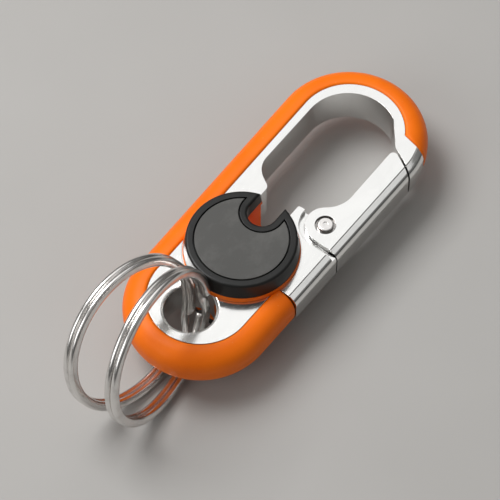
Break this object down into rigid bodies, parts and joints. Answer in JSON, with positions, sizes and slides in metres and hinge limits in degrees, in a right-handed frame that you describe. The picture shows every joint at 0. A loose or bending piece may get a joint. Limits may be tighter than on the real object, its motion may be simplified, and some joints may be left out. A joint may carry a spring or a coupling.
{
  "type": "carabiner keyring",
  "caption": "Pocket carabiner key holder: metal hook with an inward-sprung gate, two-part moulded bumper, round capped core and loose split rings through an eye.",
  "frame": {"origin": "centre of the rear inlay's flat outer face, which is the face the body rests on, on the axis of the round core", "axes": "+X from the core's axis towards the hook's nose, +Y towards the closed spine (away from the gate), +Z out of the front face"},
  "size_m": [0.1003, 0.0326, 0.0342],
  "materials": {
    "polished_metal": "bright plated zinc casting, polished faces",
    "steel": "bright nickel-plated steel wire and rivet",
    "orange_plastic": "satin moulded plastic",
    "black_plastic": "satin black plastic"
  },
  "bodies": {
    "body": {"frame": "polished_metal", "pivot_rivet": "steel", "gate_spring": "steel", "bumper_front": "orange_plastic", "bumper_rear": "orange_plastic", "core_front": "orange_plastic", "core_rear": "orange_plastic", "cap_front": "black_plastic", "cap_rear": "black_plastic", "inlay_front": "black_plastic", "inlay_rear": "black_plastic", "clamp_screws": "steel"},
    "gate": {"gate": "polished_metal"},
    "ring_a": {"split_ring_a": "steel"},
    "ring_b": {"split_ring_b": "steel"}
  },
  "joints": [
    {"name": "gate_pivot", "type": "hinge", "parent": "body", "child": "gate", "pos_m": [0.01524, -0.0098, 0.0093], "axis": [0, 0, 1], "range_deg": [0, 38], "stiffness_Nm_per_rad": 0.03, "springref_deg": -20.05, "deforming": ["gate_spring"]},
    {"name": "ring_a_swing", "type": "hinge", "parent": "body", "child": "ring_a", "pos_m": [-0.01614, 0.00136, 0.0093], "axis": [0.0023, 0.9798, -0.2002], "range_deg": [-48, 1]},
    {"name": "ring_b_swing", "type": "hinge", "parent": "body", "child": "ring_b", "pos_m": [-0.01512, -0.00165, 0.0093], "axis": [0.0023, 0.9798, -0.2002], "range_deg": [-48, 1]}
  ]
}
